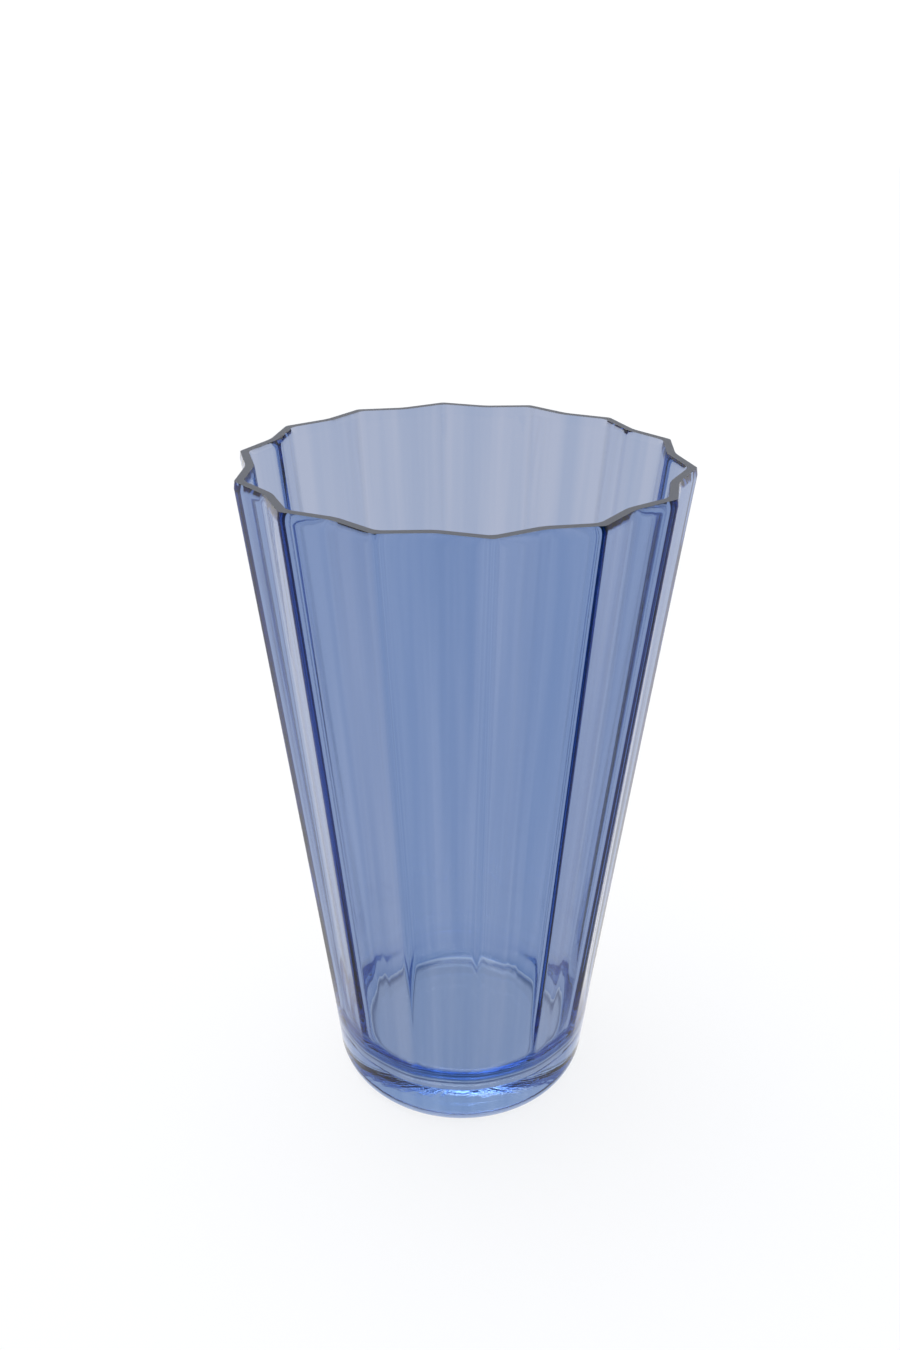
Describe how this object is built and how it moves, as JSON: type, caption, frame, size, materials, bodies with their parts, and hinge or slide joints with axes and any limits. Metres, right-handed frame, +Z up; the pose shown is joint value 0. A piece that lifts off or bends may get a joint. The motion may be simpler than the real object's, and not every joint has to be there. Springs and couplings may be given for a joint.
{
  "type": "fluted glass vase",
  "caption": "Tall tapering vase of clear glass under a thin, transparent blue coat, with wide flutes that die out towards a heavy round base, and a ground, bevelled rim, for cut flowers in water.",
  "frame": {"origin": "centre of the foot's flat face, on the table", "axes": "+Z up along the vase's axis; one ridge stands on the -Y axis"},
  "size_m": [0.1786, 0.183, 0.3],
  "materials": {
    "blue_glass": "smooth pressed glass with a thin, transparent blue coat on the outside, ground matt on the top face of the rim"
  },
  "bodies": {
    "root": {"base": "blue_glass", "wall": "blue_glass", "rim": "blue_glass"}
  },
  "joints": []
}
